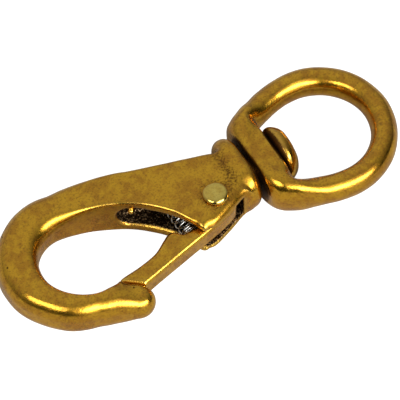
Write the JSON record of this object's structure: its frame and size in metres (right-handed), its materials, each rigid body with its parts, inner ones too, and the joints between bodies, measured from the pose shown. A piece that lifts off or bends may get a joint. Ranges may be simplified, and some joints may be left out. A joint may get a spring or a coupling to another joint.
{
  "type": "swivel-eye snap hook",
  "caption": "Cast brass snap hook with a round bow, a sprung lever gate riveted between two cheeks, and a D-shaped eye that swivels on a button-headed post.",
  "frame": {"origin": "centre of the eye's opening, on the swivel axis and at mid-thickness", "axes": "+X along the swivel axis from the hook to the crown of the eye, +Z through the flat of the hook, the gate on the -Y side"},
  "size_m": [0.1111, 0.043, 0.0164],
  "materials": {
    "cast_brass": "tumbled casting, tarnished",
    "gate_brass": "satin casting",
    "rivet_brass": "peened, bright",
    "spring_steel": "drawn stainless wire",
    "post_brass": "tumbled",
    "eye_brass": "tumbled casting, tarnished"
  },
  "bodies": {
    "hook": {"hook_body": "cast_brass", "gate_pin": "rivet_brass", "swivel_post": "post_brass", "gate_spring": "spring_steel"},
    "gate": {"gate": "gate_brass"},
    "eye": {"swivel_eye": "eye_brass"}
  },
  "joints": [
    {"name": "gate_hinge", "type": "hinge", "parent": "hook", "child": "gate", "pos_m": [-0.0343, -0.0055, 0], "axis": [0, 0, -1], "range_deg": [0, 27], "stiffness_Nm_per_rad": 0.12, "springref_deg": -22.92, "deforming": ["gate_spring"]},
    {"name": "eye_swivel", "type": "hinge", "parent": "hook", "child": "eye", "pos_m": [-0.0172, 0, 0], "axis": [1, 0, 0], "continuous": true}
  ]
}
